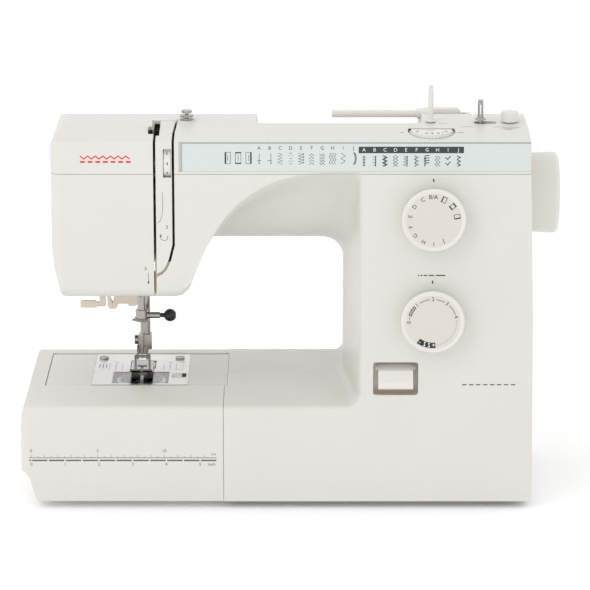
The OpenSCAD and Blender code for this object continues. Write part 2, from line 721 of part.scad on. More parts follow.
module lower_shaft() {
  color(steel) translate([0, hook_y, lower_z]) {
    rod_x(hook_x + pinion_r + 8.6, timing_belt_x + 8, 0, 0, shaft_r);
    toothed(timing_belt_x - 4.4, timing_belt_x + 4.4, timing_r, 36);
    for (x = [timing_belt_x - 6, timing_belt_x + 4.6]) rod_x(x, x + 1.4, 0, 0, timing_r + 2.4);
    rod_x(hook_x + pinion_r + 5, hook_x + pinion_r + 15, 0, 0, 8);
    difference() {
      rod_x(hook_x + pinion_r + 1.3, hook_x + pinion_r + 5, 0, 0, crown_r + 2.4);
      rod_x(hook_x + pinion_r, hook_x + pinion_r + 2.8, 0, 0, crown_r - 2.4);
    }
    for (i = [0:pinion_teeth * 2 - 1]) rotate([90 + i * 180 / pinion_teeth, 0, 0])
      box([hook_x + pinion_r - 0.6, crown_r - 0.6, -0.4], [hook_x + pinion_r + 1.4, crown_r + 2, 0.4]);
  }
}
module rotary_hook() {
  color(steel) translate([hook_x, hook_y, 0]) {
    rod_z(34, 62, 0, 0, 3);
    rod_z(lower_z + crown_r - 3, lower_z + crown_r + 3, 0, 0, pinion_r - 0.9);
    for (i = [0:pinion_teeth - 1]) rotate([0, 0, (i + 0.5) * 360 / pinion_teeth])
      box([pinion_r - 2, -0.4, lower_z + crown_r - 2], [pinion_r + 0.6, 0.4, lower_z + crown_r + 2]);
    difference() {
      rod_z(60.4, 80.2, 0, 0, 18.8);
      rod_z(62.6, 90, 0, 0, 16.4);
      // Window in the wall, with the hook point left standing in it
      rotate([0, 0, 20]) {
        box([10, -30, 66], [30, 0, 71]);
        box([10, -30, 73.6], [30, 0, 78]);
        box([10, -30, 70.9], [30, -9, 73.7]);
      }
    }
  }
}
module bobbin() {
  color([0.85, 0.87, 0.9]) translate([hook_x, hook_y, 0]) {
    difference() {
      union() {
        rod_z(64.6, 65.8, 0, 0, 10.2);
        rod_z(75.2, 76.4, 0, 0, 10.2);
        rod_z(65, 76, 0, 0, 4.4);
      }
      rod_z(60, 80, 0, 0, 3);
      for (i = [0:5]) rotate([0, 0, i * 60]) rod_z(60, 80, 7.4, 0, 1);
    }
  }
}
// Held still by the race while the hook turns round it.
module bobbin_case() {
  color(dark) translate([hook_x, hook_y, 0]) difference() {
    rod_z(63, 78.4, 0, 0, 15.6);
    rod_z(64.2, 90, 0, 0, 11);
    rod_z(60, 70, 0, 0, 3.4);
    box([-1.4, needle_y - 2.3 - hook_y, 60], [1.4, 20, 90]);
  }
}
module motor_pulley() {
  color(steel) {
    rod_x(134 + 3, motor_belt_x + 7, motor_at[0], motor_at[1], 2.5);
    rod_x(motor_belt_x + 0.6, motor_belt_x + 6.4, motor_at[0], motor_at[1], motor_pulley_r);
    rod_x(motor_belt_x - 1, motor_belt_x + 0.6, motor_at[0], motor_at[1], motor_pulley_r + 1.6);
  }
}

// ---- Head ----
module needle_bar() {
  color(steel) {
    rod_z(127.4, 280, needle_x, needle_y, bar_r);
    // Stud and link that hang from the crank pin
    box([-118.5, needle_y - 7, 214], [-111.5, needle_y + 7, 226]);
    rod_x(-111.6, -108.6, needle_y, 220, 3);
    along_x(-109.6, -106.8) difference() {
      union() {
        polygon([[needle_y - 4, 220], [needle_y + 4, 220], [needle_y + 4, shaft_z + throw],
          [needle_y - 4, shaft_z + throw]]);
        translate([needle_y, shaft_z + throw]) circle(5.6);
        translate([needle_y, 220]) circle(5);
      }
      translate([needle_y, shaft_z + throw]) circle(3.2);
    }
  }
}
module needle_clamp() {
  color(steel) difference() {
    union() {
      rod_z(124.4, 133.2, needle_x, needle_y, 4.7);
      translate([needle_x, needle_y, 124.4]) cylinder(h = 2.4, r1 = 5.3, r2 = 5.9);
      rod_x(needle_x, needle_x + 14, needle_y, clamp_z, 2.4);
      rod_x(needle_x - 7.2, needle_x, needle_y - 2.4, 125.6, 0.8);
    }
    rod_z(127.4, 140, needle_x, needle_y, bar_r);
    rod_z(100, 127.5, needle_x, needle_y - 1.2, 1.05);
    rod_x(needle_x + 3, needle_x + 20, needle_y, clamp_z, 1.5 + run);
  }
}
module clamp_screw() {
  color(dark) translate([needle_x, needle_y, clamp_z]) difference() {
    union() {
      rod_x(3.6, 14.4, 0, 0, 1.5);
      rod_x(14.2, 19, 0, 0, 1.7);
      translate([21.8, 0, 0]) rotate([0, 90, 0]) rotate_extrude() polygon(arc(0, 0, 4.9, -90, 90, 10));
    }
    box([24.2, -6, -0.6], [30, 6, 0.6]);
  }
}
module needle() {
  color(steel) translate([needle_x, needle_y - 1.2, 0]) {
    rod_z(113, 125.6, 0, 0, 1);
    translate([0, 0, 97]) difference() {
      union() {
        cylinder(h = 16.1, r = 0.5);
        translate([0, 0, -3]) cylinder(h = 3.1, r1 = 0.1, r2 = 0.5);
      }
      translate([0, -1, 1.4]) rotate([-90, 0, 0]) cylinder(h = 2, r = 0.22, $fn = 16);
    }
  }
}
module take_up_lever() {
  color(steel) along_x(-102.3, -100.9) difference() {
    polygon([[take_up[0] - 4, take_up[1] + 4], [take_up[0] + 4, take_up[1] + 4], [take_up[0] + 4, take_up[1] - 4],
      [take_up[0] - 4, take_up[1] - 4], [-44, 270], [-54, 280], [-54.5, 289], [-50, 295], [-46, 293.4],
      [-49, 288], [-48.6, 282], [-40, 274]]);
    translate([-50.8, 290.4]) circle(1.2, $fn = 20);
  }
  color(steel) rod_x(-102.3, -84.2, take_up[0], take_up[1], 2 - run);
}
module presser_bar() {
  color(steel) {
    rod_z(102, 264, presser_x, presser_y, bar_r);
    box([presser_x - 5, presser_y - 5.6, 182], [presser_x + 5, presser_y + 8, 190]);
  }
}
module presser_spring() {
  color(steel) for (i = [0:11]) translate([presser_x, presser_y, 192 + i * 4.9])
    rotate_extrude($fn = 32) translate([bar_r + 1.6, 0]) circle(0.8, $fn = 16);
}
module foot_holder() {
  color(steel) difference() {
    union() {
      box([needle_x - 3, presser_y - 5, 98.4], [presser_x + 4.4, presser_y + 4.4, 110]);
      box([needle_x - 4.4, needle_y + 6.6, 95.6], [needle_x + 4.4, presser_y + 2, 101]);
      box([needle_x - 4.4, needle_y + 2, 92.4], [needle_x - 2.9, needle_y + 8, 96.6]);
      box([needle_x + 2.9, needle_y + 2, 92.4], [needle_x + 4.4, needle_y + 8, 96.6]);
    }
    rod_z(102, 120, presser_x, presser_y, bar_r);
    rod_x(needle_x - 20, needle_x, presser_y, foot_screw_z, 1.2 + run);
    rod_x(needle_x - 10, needle_x + 10, foot_y, 94.2, 1.1 + run);
  }
}
module foot_screw() {
  color(steel) {
    rod_x(needle_x - 5, needle_x - 0.8, presser_y, foot_screw_z, 1.2);
    difference() {
      rod_x(needle_x - 6.4, needle_x - 3.3, presser_y, foot_screw_z, 3.7);
      box([needle_x - 7, presser_y - 4, foot_screw_z - 0.4], [needle_x - 5.4, presser_y + 4, foot_screw_z + 0.4]);
    }
  }
}
foot_y = needle_y + 5;
module presser_foot() {
  color(steel) difference() {
    union() {
      along_x(needle_x - 8.6, needle_x + 8.6) polygon([[-13, 91.5], [-11.5, 90.2], [-4, 87.6], [2, 86], [28, 86],
        [30, 87.2], [28, 88], [3, 88], [-4, 89.4], [-12, 92.4]]);
      box([needle_x - 6.2, foot_y - 3, 87.6], [needle_x - 4.6, foot_y + 3, 96]);
      box([needle_x + 4.6, foot_y - 3, 87.6], [needle_x + 6.2, foot_y + 3, 96]);
      rod_x(needle_x - 6, needle_x + 6, foot_y, 94.2, 1.1);
    }
    box([needle_x - 3.4, needle_y - 2.6, 80], [needle_x + 3.4, needle_y + 1.4, 100]);
    box([needle_x - 1.2, -20, 80], [needle_x + 1.2, needle_y - 2, 100]);
  }
}
module presser_lifter() {
  color(part_white) translate(lifter) {
    rod_x(-lifter_w / 2 - 5, lifter_w / 2 + 5, 0, 0, 1.95);
    along_x(-lifter_w / 2, lifter_w / 2)
      polygon(concat(arc(0, 0, 6, 70, 240, 8), [[26, -31], [32, -33], [37, -30.5], [36, -26]]));
  }
}
module needle_threader() {
  color(steel) rod_z(148, 210, -129.5, -3.5, 1.8);
  color(part_white) {
    // Finger tab on its post
    along_y(-5, -1.6) polygon([[-161, 139.8], [-160, 139.2], [-149, 139.2], [-148, 140.2], [-142.4, 140.2],
      [-141.6, 141], [-141.6, 174], [-146.3, 174], [-146.3, 143.4], [-149, 143.4], [-150, 144.4],
      [-160, 144.4], [-161, 143.4]]);
    // Guide fork
    along_y(-6, -1) polygon([[-140.2, 174], [-140.2, 141], [-138.6, 138.6], [-134, 138.6], [-132.5, 140.6],
      [-132.5, 174], [-135.3, 174], [-135.3, 146], [-136.5, 143.2], [-137.8, 146], [-137.8, 174]]);
    box([-146, -5, 170], [-126, -2, 174]);
    along_y(-6, -1) polygon([[-133, 142.5], [-124.6, 142.5], [-124, 140.8], [-118.6, 140.8], [-117.4, 142],
      [-117.4, 150], [-133, 150]]);
  }
}

// ---- Bed ----
module hook_cover() {
  color([0.85, 0.88, 0.9]) {
    box([cover_at[0], cover_at[1], bed_z - 1.8], [cover_at[2], cover_at[3] - 0.85, bed_z - 0.1]);
    rod_x(cover_at[0], cover_at[2], cover_at[3] - 0.85, bed_z - 0.95, 0.85);
  }
}
module cover_release() {
  color(part_white) difference() {
    box([button_at[0], button_at[1], bed_z - 4], [button_at[2], button_at[3], bed_z + 0.6]);
    for (i = [0:3]) box([button_at[0] + 1.2 + i * 1.7, button_at[1] - 1, bed_z], [button_at[0] + 1.9 + i * 1.7, button_at[3] + 1, 90]);
  }
}
module feed_bar() {
  color(cast) difference() {
    box([-128, 17.6, 69], [-102, 40, 72.4]);
    box([needle_x - 1.5, 14, 60], [needle_x + 1.5, 34, 80]);
  }
}
module feed_tooth_row(x0, x1, y0, y1) {
  top = bed_z - 0.4;
  along_x(x0, x1) polygon(concat([[y1, 74], [y0, 74]],
    [for (i = [0:5]) each let (p = (y1 - y0) / 6) [[y0 + i * p, top - 0.7], [y0 + (i + 0.8) * p, top]]],
    [[y1, top - 0.7]]));
}
module feed_dogs() {
  color(steel) {
    box([-127, 20, 72.7], [-103, 37, 74.1]);
    for (x = [-120.4, -112.2]) feed_tooth_row(x, x + 2.6, 18, 33);
    feed_tooth_row(-124.2, -122.8, 21, 37);
    feed_tooth_row(-107.2, -105.8, 21, 37);
  }
}
module drop_feed_lever() {
  color(dark) {
    box([-130, free_back - 8, 46], [-126, free_back - 1.4, 50]);
    box([-131, free_back - 1.6, 45.4], [-125, free_back + 0.2, 50.6]);
  }
}

// ---- Extension table: an open box that slides on to the free arm from the left ----
module table_form(i) {
  intersection() {
    along_x(table_left + i, table_right - gap) polygon(concat(
      [[front_y + 5 + i, foot_h + 0.2 + i], [front_y + 3.4 + i, foot_h + 1.2 + i], [front_y + 0.2 + i, 28],
       [front_y + 0.2 + i, 79.3 - i], [front_y + 1.4 + i, 80.8 - i], [front_y + 3.7 + i, 81.8 - i],
       [free_front - 1, bed_z - i], [back_y - 15 - i, bed_z - i], [back_y - 9 - i, bed_z - 2 - i],
       [back_y - 6 - i, bed_z - 8 - i], [back_y - 6 - i, foot_h + 0.2 + i]]));
    along_z(0, 100) offset(delta = -i) polygon(concat(
      arc(table_left + 7, front_y + 7, 7, 180, 270, 6), [[table_right + 5, front_y], [table_right + 5, back_y]],
      arc(table_left + 26, back_y - 32, 26, 90, 180, 7)));
    // The left side is undercut as a finger hold
    along_y(-120, 120) offset(delta = -i) polygon([
      [table_left + 12, 0], [table_left + 11.8, foot_h + 1], [table_left + 9.6, 13], [table_left + 8.2, 19],
      [table_left + 6.6, 25], [table_left + 3.8, 29], [table_left, 30.4], [table_left, 66],
      [table_left + 1.4, 76], [table_left + 6, 90], [table_right + 5, 90], [table_right + 5, 0]]);
  }
}
module extension_table() {
  color(shell_white) {
    difference() {
      table_form(0);
      difference() {
        table_form(2.4);
        box([-300, -100, 0], [0, 100, foot_h + 2.6]);
      }
      // Bay for the free arm
      box([arm_left - 0.6, free_front - 0.6, 20], [table_right + 5, free_back + 0.6, 100]);
    }
    for (x = [table_left + 28, table_right - 30]) for (y = [front_y + 32, 50])
      translate([x, y, 0]) cylinder(h = foot_h + 1, r1 = 6, r2 = 7);
  }
  // Inner walls of the bay
  color(shell_white) intersection() {
    table_form(1);
    difference() {
      box([arm_left - 3, free_front - 3, foot_h + 1], [table_right, free_back + 3, bed_z]);
      box([arm_left - 0.6, free_front - 0.6, 0], [table_right + 5, free_back + 0.6, 100]);
    }
  }
}

// ---- Controls ----
module tension_dial() {
  color(part_white) difference() {
    rod_x(-93.4, -88.2, tension_at[0], tension_at[1], tension_r);
    for (i = [0:23]) rotate_about(tension_at, i * 15)
      translate([-94, tension_r + 0.2, 0]) rotate([0, 90, 0]) cylinder(h = 1.6, r = 0.6, $fn = 16);
    rod_x(-100, -80, tension_at[0], tension_at[1], 2);
  }
}
module width_dial() {
  color(part_white) difference() {
    union() {
      rod_z(282, 286.8, width_at[0], width_at[1], width_r - 0.3);
      rod_z(276, 282.2, width_at[0], width_at[1], 3.1);
      rod_z(286.7, 288.1, width_at[0], width_at[1], width_r - 1.6);
    }
    for (i = [0:39]) translate([width_at[0], width_at[1], 0]) rotate([0, 0, i * 9])
      translate([width_r + 0.2, 0, 281]) cylinder(h = 7, r = 0.9, $fn = 16);
  }
}
module dial(at) {
  translate([at[0], front_y, at[1]]) rotate([90, 0, 0]) {
    rotate_extrude($fn = 96) polygon([[0, 0.4], [dial_r - 3.4, 0.4], [dial_r - 2.9, 1], [dial_r - 0.2, dial_h - 2.2],
      [dial_r, dial_h - 1.4], [dial_r - 0.4, dial_h - 0.5], [dial_r - 1.1, dial_h], [dial_r - 1.8, dial_h],
      [dial_r - 2.4, dial_h - 0.4], [0, dial_h - 0.4]]);
    translate([0, 0, -10]) cylinder(h = 10.6, r = 5.9);
  }
}
module pattern_dial() {
  color(part_white) dial(pattern_at);
}
module length_dial() {
  color(part_white) dial(length_at);
}
module reverse_lever() {
  mid = (win[0] + win[2]) / 2;
  color(part_white) {
    along_x(mid - 13, mid + 13) polygon([[front_y + 9, 112], [front_y + 1.5, 109], [front_y - 3.4, 101],
      [front_y - 3.4, 96.6], [front_y - 1.6, 95.4], [front_y + 3, 99.6], [front_y + 9, 106]]);
    rod_x(mid - 15, mid + 15, front_y + 8.6, 109, 2);
  }
}
module spool_pin() {
  color(part_white) {
    rod_x(pin_x[0], pin_x[1] - 10, pin_y, pin_z, 2.85);
    translate([pin_x[1] - 10.5, pin_y, pin_z]) rotate([0, 90, 0]) cylinder(h = 10, r1 = 4, r2 = 5.2);
    difference() {
      along_y(pin_y - 4.1, pin_y + 4.1) polygon([[105, 284.5], [105, 292], [126, 292], [129, 289], [130.4, 284.6]]);
      rod_y(0, 20, 122, pin_z - 2.5, 1.55);
    }
  }
  color(steel) rod_y(2.4, 17.6, 122, pin_z - 2.5, 1.5);
}
module extra_spool_pin() {
  color(part_white) {
    rod_z(292, 312, extra_pin[0], extra_pin[1], 2);
    translate([extra_pin[0], extra_pin[1], 312]) cylinder(h = 6, r1 = 2, r2 = 1.5);
    rod_z(278, 292.1, extra_pin[0], extra_pin[1], 1.5);
    rod_z(290.9, 292, extra_pin[0], extra_pin[1], 4);
  }
}
module winder_base() {
  color(part_white) difference() {
    box([132, winder[1] - 9, 278.6], [158, winder[1] + 9, 282]);
    rod_z(270, 290, winder[0], winder[1], 2.1 + run);
    box([stopper[0] - 10.6, stopper[1] - 2.2, 270], [stopper[0] + 2, stopper[1] + 2.2, 290]);
  }
}
module winder_spindle() {
  color(steel) difference() {
    union() {
      rod_z(276, 306, winder[0], winder[1], 2.1);
      rod_z(282.1, 284, winder[0], winder[1], 3.2);
      translate([winder[0], winder[1], 292.4]) cylinder(h = 2, r1 = 4.4, r2 = 2.6);
      rod_z(305.9, 307.4, winder[0], winder[1], 1.7);
    }
    box([winder[0] - 0.4, winder[1] - 3, 296], [winder[0] + 0.4, winder[1] + 3, 304]);
  }
}
module carrying_handle() {
  color(shell_white) {
    along_x(handle_x[0] - 5, handle_x[1] + 5)
      rounded(handle_y + handle_reach - 10, bay_z + 0.3, handle_y + handle_reach, bay_z + 4.6, 2);
    for (x = handle_x) along_x(x - 5, x + 5) difference() {
      polygon(concat(arc(handle_y, handle_z, 2.1, 90, 270, 8),
        [[handle_y + handle_reach - 6, bay_z + 0.3], [handle_y + handle_reach - 6, bay_z + 4.5]]));
      translate([handle_y, handle_z]) circle(1.5);
    }
  }
  color(steel) for (x = handle_x) rod_x(x - 9, x + 9, handle_y, handle_z, 1.5);
}
module power_switch() {
  color(dark) {
    along_y(24, 44) polygon([[body_right - 3, 42], [body_right - 0.8, 42], [body_right + 1.2, 59],
      [body_right - 3, 59]]);
    rod_y(23, 45, body_right - 3.4, 50.5, 1.6);
  }
}

front_cover();
rear_cover();
top_cover();
face_cover();
thread_guide_plate();
stitch_chart();
free_arm_cover();
base_plate();
rubber_feet();
main_frame();
shaft_bushes();
needle_plate();
plate_screws();
hook_race();
lamp();
tension_discs();
motor();
motor_belt();
timing_belt();
power_inlet();
winding_guide();
winder_stopper();
thread_cutter();
cover_screws();
hand_wheel();
main_shaft();
lower_shaft();
rotary_hook();
bobbin_case();
bobbin();
motor_pulley();
needle_bar();
needle_clamp();
clamp_screw();
needle();
take_up_lever();
presser_bar();
presser_spring();
foot_holder();
foot_screw();
presser_foot();
presser_lifter();
needle_threader();
hook_cover();
cover_release();
feed_bar();
feed_dogs();
extension_table();
tension_dial();
width_dial();
pattern_dial();
length_dial();
reverse_lever();
spool_pin();
extra_spool_pin();
winder_base();
winder_spindle();
carrying_handle();
power_switch();
drop_feed_lever();
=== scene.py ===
"""Looks of the free-arm sewing machine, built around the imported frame. Metres, +Z up."""
import json
import math

import bmesh
import bpy
from mathutils import Matrix, Vector
from mathutils.bvhtree import BVHTree


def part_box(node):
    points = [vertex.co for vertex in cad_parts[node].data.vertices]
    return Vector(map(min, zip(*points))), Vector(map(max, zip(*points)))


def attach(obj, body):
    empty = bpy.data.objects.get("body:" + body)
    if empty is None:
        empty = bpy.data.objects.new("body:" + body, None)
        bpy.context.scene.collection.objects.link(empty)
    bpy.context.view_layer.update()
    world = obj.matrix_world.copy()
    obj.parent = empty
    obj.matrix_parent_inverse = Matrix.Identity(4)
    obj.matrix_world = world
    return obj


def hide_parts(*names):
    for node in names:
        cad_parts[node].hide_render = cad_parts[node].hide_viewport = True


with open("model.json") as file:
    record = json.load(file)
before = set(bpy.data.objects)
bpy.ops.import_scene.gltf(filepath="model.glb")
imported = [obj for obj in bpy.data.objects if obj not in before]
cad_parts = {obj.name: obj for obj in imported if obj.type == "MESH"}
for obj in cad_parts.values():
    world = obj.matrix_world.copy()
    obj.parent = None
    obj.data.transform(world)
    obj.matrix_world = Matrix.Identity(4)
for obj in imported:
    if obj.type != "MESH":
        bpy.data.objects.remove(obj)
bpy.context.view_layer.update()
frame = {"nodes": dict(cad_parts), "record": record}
scene = bpy.context.scene
MM = 0.001
NODES = frame["nodes"]


# ---- Materials ----
def srgb(red, green, blue):
    """A colour given as it looks on screen, 0 to 255, as the shader wants it."""
    def linear(value):
        value /= 255
        return value / 12.92 if value <= 0.04045 else ((value + 0.055) / 1.055) ** 2.4
    return (linear(red), linear(green), linear(blue), 1.0)


def shade(colour, factor):
    """The colour, darkened by a factor."""
    return (colour[0] * factor, colour[1] * factor, colour[2] * factor, 1.0)


class Look:
    """A node material: one Principled shader, fed by textures in object space."""

    def __init__(self, name, roughness=0.4, metallic=0.0, **sockets):
        self.material = bpy.data.materials.new(name)
        self.material.use_nodes = True
        self.tree = self.material.node_tree
        self.shader = self.tree.nodes["Principled BSDF"]
        self.shader.inputs["Roughness"].default_value = roughness
        self.shader.inputs["Metallic"].default_value = metallic
        for socket, value in sockets.items():
            self.shader.inputs[socket.replace("_", " ")].default_value = value
        self.coords = self.tree.nodes.new("ShaderNodeTexCoord").outputs["Object"]

    def link(self, source, target):
        self.tree.links.new(source, target)

    def stretched(self, scale):
        mapping = self.tree.nodes.new("ShaderNodeMapping")
        mapping.inputs["Scale"].default_value = scale
        self.link(self.coords, mapping.inputs["Vector"])
        return mapping.outputs["Vector"]

    def noise(self, scale, detail=3.0, vector=None):
        node = self.tree.nodes.new("ShaderNodeTexNoise")
        node.inputs["Scale"].default_value = scale
        node.inputs["Detail"].default_value = detail
        self.link(vector or self.coords, node.inputs["Vector"])
        return node.outputs["Fac"]

    def ramp(self, factor, stops):
        node = self.tree.nodes.new("ShaderNodeValToRGB")
        ramp = node.color_ramp
        while len(ramp.elements) < len(stops):
            ramp.elements.new(0.5)
        for element, (place, colour) in zip(ramp.elements, stops):
            element.position = place
            element.color = colour
        self.link(factor, node.inputs["Fac"])
        return node.outputs["Color"]

    def colour(self, factor, dark, light, low=0.35, high=0.65):
        self.link(self.ramp(factor, [(low, dark), (high, light)]), self.shader.inputs["Base Color"])
        return self

    def vary_roughness(self, factor, low, high):
        grey = [(0.3, (low, low, low, 1)), (0.7, (high, high, high, 1))]
        self.link(self.ramp(factor, grey), self.shader.inputs["Roughness"])
        return self

    def bump(self, height, strength, distance):
        node = self.tree.nodes.new("ShaderNodeBump")
        node.inputs["Strength"].default_value = strength
        node.inputs["Distance"].default_value = distance
        self.link(height, node.inputs["Height"])
        self.link(node.outputs["Normal"], self.shader.inputs["Normal"])
        return self


def plastic(name, colour, roughness, grain=0.05, variation=0.985, **sockets):
    """Moulded plastic: a faint spark-eroded grain, a little colour drift and uneven gloss."""
    look = Look(name, roughness, **sockets)
    look.colour(look.noise(14.0), shade(colour, variation), colour)
    look.vary_roughness(look.noise(60.0), roughness - 0.03, roughness + 0.04)
    look.bump(look.noise(2600.0, 2.0), grain, 0.00005)
    return look.material


def metal(name, colour, roughness, stretch=(1, 1, 1), grain=0.06, anisotropic=0.0):
    """Turned or brushed metal: fine scratches drawn out along the stretched axis."""
    look = Look(name, roughness, 1.0, Anisotropic=anisotropic)
    lines = look.noise(900.0, 4.0, look.stretched(stretch))
    look.colour(lines, shade(colour, 0.86), colour)
    look.vary_roughness(lines, max(0.04, roughness - 0.05), roughness + 0.07)
    look.bump(lines, grain, 0.00004)
    return look.material


def ink(name, colour, roughness=0.55):
    """Pad-printed ink: matt, and very slightly uneven where it took to the plastic."""
    look = Look(name, roughness)
    look.colour(look.noise(1400.0, 2.0), shade(colour, 0.9), colour)
    look.bump(look.noise(4000.0, 2.0), 0.05, 0.00002)
    return look.material


def cast(name, colour):
    """Die-cast metal, mottled and slightly rough."""
    look = Look(name, 0.5, 1.0)
    look.colour(look.noise(120.0, 6.0), shade(colour, 0.8), colour)
    look.bump(look.noise(700.0, 5.0), 0.3, 0.0002)
    return look.material


def clear(name):
    """Clear moulded plastic with faint flow marks and rubbed patches."""
    look = Look(name, 0.06, IOR=1.49, Transmission_Weight=1.0)
    look.colour(look.noise(90.0), srgb(236, 240, 241), srgb(250, 252, 252))
    look.vary_roughness(look.noise(300.0), 0.03, 0.12)
    look.bump(look.noise(260.0), 0.03, 0.0001)
    return look.material


def rubber(name):
    """Matt black rubber."""
    look = Look(name, 0.75)
    look.colour(look.noise(200.0, 5.0), srgb(30, 30, 31), srgb(48, 48, 49))
    look.bump(look.noise(3000.0, 3.0), 0.15, 0.00006)
    return look.material


SHELL = plastic("shell_white", srgb(219, 217, 212), 0.36)
CONTROL = plastic("control_white", srgb(225, 222, 217), 0.3, grain=0.03)
DIAL_FACE = plastic("dial_face", srgb(214, 209, 202), 0.45, grain=0.08)
CHART = plastic("chart_film", srgb(209, 216, 214), 0.26, grain=0.02)
# Darker grey-green for the painted shadow along the top and left of the chart's recess.
CHART_RECESS_SHADOW = plastic("chart_recess_shadow", srgb(164, 172, 171), 0.4)
# Beige lining for the lever pocket and thread slot; its emission is a painted glow standing in for light
# reaching the shaded hollows, not a lamp.
PIT_WITH_PAINTED_GLOW = plastic("pocket_beige_painted_glow", srgb(206, 193, 176), 0.5, Emission_Color=srgb(198, 184, 166),
              Emission_Strength=0.34)
CHROME = metal("polished_steel", srgb(176, 172, 168), 0.16, (1, 1, 0.05))
BRUSHED = metal("brushed_steel", srgb(232, 228, 226), 0.3, (0.04, 1, 1), anisotropic=0.4)
SPRING_STEEL = metal("spring_steel", srgb(150, 148, 146), 0.3)
BRONZE = metal("sintered_bronze", srgb(176, 134, 84), 0.4)
CAST = cast("cast_metal", srgb(160, 163, 166))
BLACK = plastic("black_plastic", srgb(30, 30, 32), 0.34, grain=0.2)
RUBBER = rubber("rubber")
CLEAR = clear("clear_plastic")
# Cream tint on the white threader: painted shade, standing in for the brownish shadow and reflection under
# the head.
THREADER_SHADE_TINT = plastic("threader_painted_shade_tint", srgb(222, 210, 195), 0.4)
LENS = plastic("lamp_lens", srgb(246, 244, 232), 0.25)
BLACK_INK = ink("ink_black", srgb(34, 34, 38))
GREY_INK = ink("ink_grey", srgb(92, 94, 97))
PALE_INK = ink("ink_pale", srgb(112, 112, 114))
RED_INK = ink("ink_red", srgb(222, 46, 30), 0.35)
BAND_INK = ink("ink_band", srgb(54, 56, 66), 0.4)
WHITE_INK = ink("ink_white", srgb(242, 242, 240))

MATERIAL_OF_SLOT = {
    "casing_white": SHELL, "control_white": CONTROL, "chart_grey": CHART, "polished_steel": CHROME,
    "brushed_steel": BRUSHED, "black_plastic": BLACK, "rubber": RUBBER, "cast_metal": CAST,
    "bronze": BRONZE, "clear_plastic": CLEAR, "lens": LENS,
}
SLOT_OF_NODE = {row["node"]: row["material_slot"] for row in frame["record"]["subparts"]}
BODY_OF_NODE = {node: body for body, nodes in frame["record"]["behaviour"]["bodies"].items()
                for node in nodes}


# ---- Pieces ----
def add_piece(name, mesh, body, material, replaced=()):
    """Puts a mesh in the scene as a piece that rides on a body."""
    piece = bpy.data.objects.new(name, mesh)
    scene.collection.objects.link(piece)
    mesh.materials.clear()
    mesh.materials.append(material)
    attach(piece, body)
    if replaced:
        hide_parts(*replaced)
    return piece


def smooth_by_angle(mesh, degrees):
    """Smooth shading with hard edges where two faces meet at more than the angle."""
    work = bmesh.new()
    work.from_mesh(mesh)
    limit = math.radians(degrees)
    for face in work.faces:
        face.smooth = True
    for edge in work.edges:
        edge.smooth = len(edge.link_faces) == 2 and edge.calc_face_angle(0.0) < limit
    work.to_mesh(mesh)
    work.free()


def refine(node, bevel=0.35, material=None, angle=32, smooth=30):
    """A moulded copy of a CAD node: joined skin, rounded edges and smooth shading."""
    mesh = NODES[node].data.copy()
    mesh.name = node + "_moulded"
    work = bmesh.new()
    work.from_mesh(mesh)
    bmesh.ops.remove_doubles(work, verts=work.verts, dist=2e-6)
    bmesh.ops.dissolve_limit(work, angle_limit=math.radians(0.4), verts=work.verts, edges=work.edges)
    work.to_mesh(mesh)
    work.free()
    if "custom_normal" in mesh.attributes:
        mesh.attributes.remove(mesh.attributes["custom_normal"])
    smooth_by_angle(mesh, smooth)
    slot = SLOT_OF_NODE[node]
    piece = add_piece(node + "_moulded", mesh, BODY_OF_NODE[node],
                      material or MATERIAL_OF_SLOT[slot], (node,))
    if bevel:
        rounding = piece.modifiers.new("rounding", "BEVEL")
        rounding.width = bevel * MM
        rounding.segments = 2
        rounding.limit_method = "ANGLE"
        rounding.angle_limit = math.radians(angle)
        rounding.harden_normals = True
        rounding.use_clamp_overlap = True
    return piece


# ---- Printed marks ----
SIZE_OF_CAPITAL = 1.37  # font size over the height of a capital


